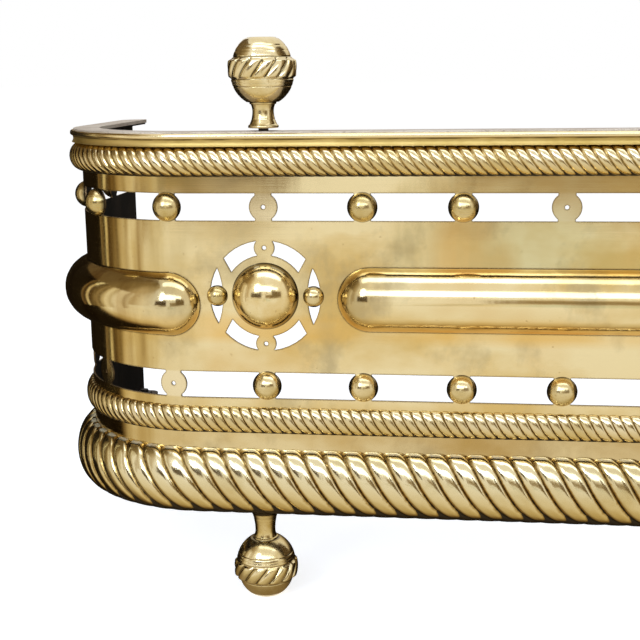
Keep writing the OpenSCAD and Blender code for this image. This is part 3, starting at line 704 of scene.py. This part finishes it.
def gadroon(r, z, angle):
    """Carves slanted gadroons into the band, and darkens hollows and lines."""
    slant = GADROON_TWIST * (z - BAND[1]) / (BAND_TO - BAND_FROM)
    turn = angle / (2 * math.pi) * GADROONS - slant
    side = np.abs(2 * (turn - np.round(turn)))
    inside = (smoothstep(z, BAND_FROM, BAND_FROM + 1.6)
              * (1 - smoothstep(z, BAND_TO - 1.6, BAND_TO)) * (r > 15))
    line = (scored(z, BAND_FROM - 0.3, 0.35) + scored(z, BAND_TO + 0.2, 0.35)
            + 0.8 * scored(z, SCORED, 0.3) + scored(z, SHOULDER, 0.5))
    # painted shade on a foot's collar, right under the base bar
    collar = smoothstep(z, FOOT_H - 3.2, FOOT_H - 1.6)
    hollow_dirt_and_shade = inside * side ** 5 + 0.8 * line * (r > 8) + collar
    return r - GADROON_DEPTH * inside * side ** 3.0, np.clip(hollow_dirt_and_shade, 0, 1)


def turned_piece(node, height, centre, turn):
    """A finial or foot: its outline turned round its axis, with gadroons."""
    profile = np.asarray(ball_profile(height), float)
    angles = np.arange(TURNED_SEGMENTS) / TURNED_SEGMENTS * 2 * math.pi
    r = np.repeat(profile[None, :, 0], TURNED_SEGMENTS, axis=0)
    z = np.repeat(profile[None, :, 1], TURNED_SEGMENTS, axis=0)
    r, groove = gadroon(r, z, angles[:, None])
    x = r * np.cos(angles)[:, None]
    y = r * np.sin(angles)[:, None]
    verts = np.stack([x, y, z], axis=-1).reshape(-1, 3)
    ring = len(profile)
    i = np.arange(TURNED_SEGMENTS)[:, None] * ring
    k = (np.arange(TURNED_SEGMENTS)[:, None] + 1) % TURNED_SEGMENTS * ring
    j = np.arange(ring - 1)[None, :]
    quads = np.stack([i + j, k + j, k + j + 1, i + j + 1], axis=-1)
    faces = quads.reshape(-1, 4).tolist()
    faces.append([n * ring for n in range(TURNED_SEGMENTS - 1, -1, -1)])
    faces.append([n * ring + ring - 1 for n in range(TURNED_SEGMENTS)])
    verts = verts @ np.array(turn.to_3x3()).T + np.asarray(centre)
    obj = make_object(node + "_look", verts, faces, TURNED, 40)
    add_field(obj, "groove", groove.ravel())
    return finish_piece(obj, "turned_brass", node)


UPRIGHT = Matrix.Identity(4)
TURNED_OVER = Matrix.Rotation(math.pi, 4, "X")

for side, name in ((-1, "left"), (1, "right")):
    front = FRONT_Y + ROD_INSET
    # the outline runs from the flat end, which is a finial's top
    turned_piece("finial_" + name, FINIAL_H,
                 (side * ROUNDEL_X, front, FINIAL_Z + FINIAL_H), TURNED_OVER)
    turned_piece("front_foot_" + name, FOOT_H, (side * FOOT_X, front, 0), UPRIGHT)
    turned_piece("rear_foot_" + name, FOOT_H, (side * REAR_FOOT_X, REAR_FOOT_Y, 0), UPRIGHT)


# ----------------------------------------------- studs, domes and ironwork

for name in ("dome_left", "dome_right"):
    smooth_copy(name, POLISHED, "brass_sheet", 50, 9.0)
for name in ("upper_studs", "lower_studs", "roundel_studs"):
    smooth_copy(name, STUD, "turned_brass", 50, 4.5)
for name in ("finial_stud_left", "finial_stud_right", "front_foot_stud_left",
             "front_foot_stud_right", "rear_foot_stud_left", "rear_foot_stud_right",
             "rail_nuts", "base_nuts", "foot_spacers", "base_bar", "base_screws",
             "rail_screws"):
    smooth_copy(name, IRON, "rail_iron" if name == "rail_screws" else "black_iron", 35)
smooth_copy("top_rail", RAIL, "rail_iron", 35)


# ------------------------------------------------------------------ stage


def rectangle(*spans):
    """Corners of a rectangle from its (low, high) along X, Y and Z.  One of
    the three is a single number, where the rectangle is flat."""
    corners = []
    for ends in ((0, 0), (1, 0), (1, 1), (0, 1)):
        ends = iter(ends)
        corners.append(tuple(s[next(ends)] if isinstance(s, tuple) else s for s in spans))
    return corners


def staged_plane(name, corners, material):
    mesh = bpy.data.meshes.new(name)
    mesh.from_pydata(corners, [], [tuple(range(len(corners)))])
    mesh.materials.append(material)
    obj = bpy.data.objects.new(name, mesh)
    bpy.context.scene.collection.objects.link(obj)
    return obj


def floor_material():
    """Pale floor that is white to the camera, keeps the object's shadow, and
    is plain white to what mirrors it."""
    n = Nodes(bpy.data.materials.new("floor"))
    lift = n.times(n.rays("Is Camera Ray", "Is Transmission Ray"), FLOOR_GLOW)
    seen = n.node("AddShader")
    n.put(seen.inputs[0], n.node("BsdfDiffuse", Color=FLOOR_WHITE).outputs[0])
    n.put(seen.inputs[1], n.node("Emission", Strength=lift).outputs[0])
    mirrored = n.node("Emission", Strength=1.0).outputs[0]
    return n.surface("OutputMaterial",
                     n.either(n.rays("Is Glossy Ray"), seen.outputs[0], mirrored))


def card_material(name, axis, levels, patches):
    """A ramp of levels along one axis of the row frame, as (metres, colour),
    darkened in patches."""
    n = Nodes(bpy.data.materials.new(name))
    low, high = levels[0][0], levels[-1][0]
    ramp = n.node("ValToRGB", Fac=n.span(n.along(axis), low, high))
    ramp.color_ramp.interpolation = "EASE"
    elements = ramp.color_ramp.elements
    while len(elements) < len(levels):
        elements.new(0.5)
    for element, (at, colour) in zip(elements, levels):
        element.position = (at - low) / (high - low)
        element.color = (*colour, 1)
    colour = ramp.outputs["Color"]
    if patches:
        colour = n.mix(n.span(n.noise(2.3, 1.0), 0.50, 0.56, 0.0, patches), colour, FLOOR_PATCH)
    return n.surface("OutputMaterial", n.node("Emission", Color=colour).outputs[0])


def card(name, corners, axis, levels, patches=0.0):
    """A card such as a photographer sets round shiny metal: it shows in
    reflections and nowhere else."""
    obj = staged_plane(name, corners, card_material(name, axis, levels, patches))
    obj.visible_camera = False
    obj.visible_diffuse = False
    obj.visible_transmission = False
    obj.visible_shadow = False


staged_plane("floor", rectangle((-30, 30), (-30, 30), 0), floor_material())

# the cards on the floor lie just over it
LYING = 0.003
# pale in front of the object, and dark under and behind it as a painted shadow that only
# reflections show
card("card_floor", rectangle((-3, 3), (-1.0, 3.0), LYING), "Y",
     [(-1.0, (0.98, 0.97, 0.94)), (-0.40, (0.94, 0.91, 0.84)), (-0.20, (0.92, 0.88, 0.78)),
      (-0.135, STRAW), (-0.095, RUST), (-0.075, NEAR_BLACK), (3.0, NEAR_BLACK)])
# further in front, in bands and patches, as the flat panels show
card("card_room", rectangle((-5, 5), (-5, -1.0), LYING), "X",
     [(-5, (1.0, 0.99, 0.96)), (-0.53, (1.0, 0.99, 0.96)), (-0.50, (0.94, 0.84, 0.66)),
      (-0.47, (0.74, 0.72, 0.62)), (-0.42, (0.72, 0.70, 0.60)), (-0.40, (1.0, 0.90, 0.70)),
      (-0.35, (0.96, 0.92, 0.80)), (-0.32, (0.76, 0.80, 0.74)), (-0.12, (0.82, 0.86, 0.80)),
      (0.1, (1.0, 0.99, 0.95)), (5, (0.95, 0.95, 0.9))], 0.18)
# the room behind and beside the object
card("card_back", rectangle((-4, 4), 2.4, (0.0, 1.2)), "Z",
     [(0.0, NEAR_BLACK), (0.4, UMBER), (0.75, TAN), (1.2, CREAM)])
card("card_left", rectangle(-1.15, (-0.5, 1.4), (0.0, 0.6)), "Y",
     [(-0.5, CREAM), (-0.43, TAN), (-0.39, WARM_WHITE), (-0.31, WARM_WHITE), (-0.26, SAND_PALE),
      (-0.20, BUFF), (-0.165, SAND_GOLD), (-0.135, BROWN), (-0.10, EARTH), (-0.07, BROWN),
      (-0.005, SOOTY), (0.008, YELLOW), (0.034, YELLOW), (0.048, NEAR_BLACK), (0.09, BROWN),
      (0.115, EARTH), (0.135, NEAR_BLACK), (1.4, NEAR_BLACK)])
card("card_left_high", rectangle(-1.16, (-0.75, 1.4), (0.14, 1.4)), "Y",
     [(-0.75, CREAM), (-0.5, DUN), (-0.25, MUD), (0.1, DARK_BROWN), (1.4, UMBER)])
card("card_right", rectangle(1.3, (-0.5, 1.4), (0.0, 2.4)), "Y",
     [(-0.5, CREAM), (-0.40, TAN), (-0.16, BROWN), (0.0, TAN), (0.12, BROWN), (0.3, UMBER),
      (1.4, UMBER)])
# what stands beside the camera, low in the domes and studs
for name, across, top, shade in (("card_stand_left", (-1.5, -0.62), 0.6, UMBER),
                                 ("card_stand_mid", (-0.37, 0.1), 0.42, CLAY),
                                 ("card_stand_right", (0.1, 1.3), 0.8, PEAT)):
    card(name, rectangle(across, -1.25, (0.13, top)), "Z",
         [(0.13, SAND), (0.22, shade), (top - 0.12, shade), (top, SAND)])

world = bpy.data.worlds.new("studio")
bpy.context.scene.world = world
n = Nodes(world)
studio = n.node("Background", Color=(1, 1, 1), Strength=WORLD_LIGHT).outputs[0]
white = n.node("Background", Color=(1, 1, 1), Strength=1.0).outputs[0]
seen = n.rays("Is Camera Ray", "Is Glossy Ray", "Is Transmission Ray")
n.surface("OutputWorld", n.either(seen, studio, white))


def lamp(name, size, power, where, aim):
    """A soft panel of size (across, up) in metres, with its power in watts."""
    data = bpy.data.lights.new(name, "AREA")
    data.shape = "RECTANGLE"
    data.size, data.size_y = size
    data.energy = power
    data.color = COOL
    obj = bpy.data.objects.new(name, data)
    bpy.context.scene.collection.objects.link(obj)
    obj.location = where
    obj.rotation_mode = "QUATERNION"
    obj.rotation_quaternion = (Vector(aim) - Vector(where)).to_track_quat("-Z", "Y")


lamp("front strip", (3.4, 0.7), 24, (0.0, -2.1, 1.30), (0, 0, 0.2))
lamp("window", (0.3, 1.1), 10, (-1.15, -1.5, 0.85), (-0.4, 0, 0.2))
lamp("top", (2.4, 0.5), 9, (0, -0.5, 1.9), (0, 0, 0.2))

# ----------------------------------------------------------------- camera

# fitted to the photograph: focal length in pixels of its 640 px frame, place
# in millimetres, and turn to the right, tilt down and roll in degrees
FOCAL_PX = 1208.6
FRAME_PX = 640
SENSOR = 36
CAMERA_AT = (-306.62, -853.55, 351.57)
CAMERA_TURN = (-7.686, 11.697, -0.807)

camera_data = bpy.data.cameras.new("camera")
camera = bpy.data.objects.new("camera", camera_data)
bpy.context.scene.collection.objects.link(camera)
bpy.context.scene.camera = camera
camera_data.sensor_width = SENSOR
camera_data.lens = FOCAL_PX / FRAME_PX * SENSOR
camera_data.clip_start = 0.01
camera_data.clip_end = 200

yaw, pitch, roll = (math.radians(a) for a in CAMERA_TURN)
forward = Vector((math.sin(yaw) * math.cos(pitch), math.cos(yaw) * math.cos(pitch),
                  -math.sin(pitch)))
level = Vector((math.cos(yaw), -math.sin(yaw), 0))
upward = level.cross(forward)
right = level * math.cos(roll) + upward * math.sin(roll)
above = -level * math.sin(roll) + upward * math.cos(roll)
turn = Matrix((right, above, -forward)).transposed()
camera.matrix_world = Matrix.Translation(Vector(CAMERA_AT) * MM) @ turn.to_4x4()

bpy.context.scene.view_settings.view_transform = "Standard"
